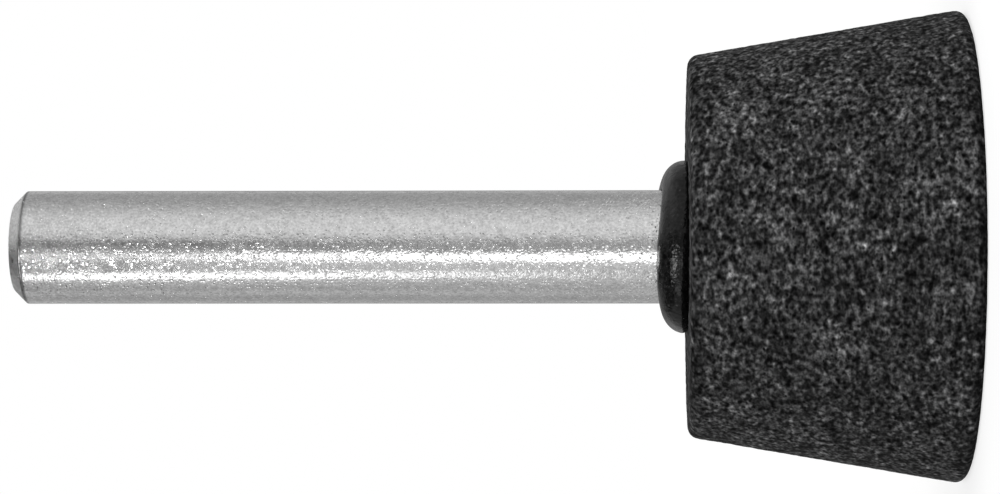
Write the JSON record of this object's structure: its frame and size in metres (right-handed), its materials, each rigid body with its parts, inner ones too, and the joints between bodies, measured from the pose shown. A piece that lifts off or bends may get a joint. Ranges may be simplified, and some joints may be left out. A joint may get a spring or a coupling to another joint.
{
  "type": "mounted point",
  "caption": "Inverted-cone grinding head of dark bonded grit, cemented onto a plain round steel spindle with a chamfered end.",
  "frame": {"origin": "centre of the head's large flat face, on the tool's axis", "axes": "+Z along the axis, from the head's large face towards the spindle's free end; +X and +Y are alike, because the tool is turned"},
  "size_m": [0.0248, 0.0248, 0.0503],
  "materials": {
    "bonded_grit": "matt, open-grained bonded abrasive with a fine speckle of lighter grains",
    "ground_steel": "bright tumbled steel with faint pits and scratches",
    "black_cement": "glossy black set cement, slightly lumpy"
  },
  "bodies": {
    "root": {"abrasive_head": "bonded_grit", "spindle": "ground_steel", "cement_collar": "black_cement"}
  },
  "joints": []
}
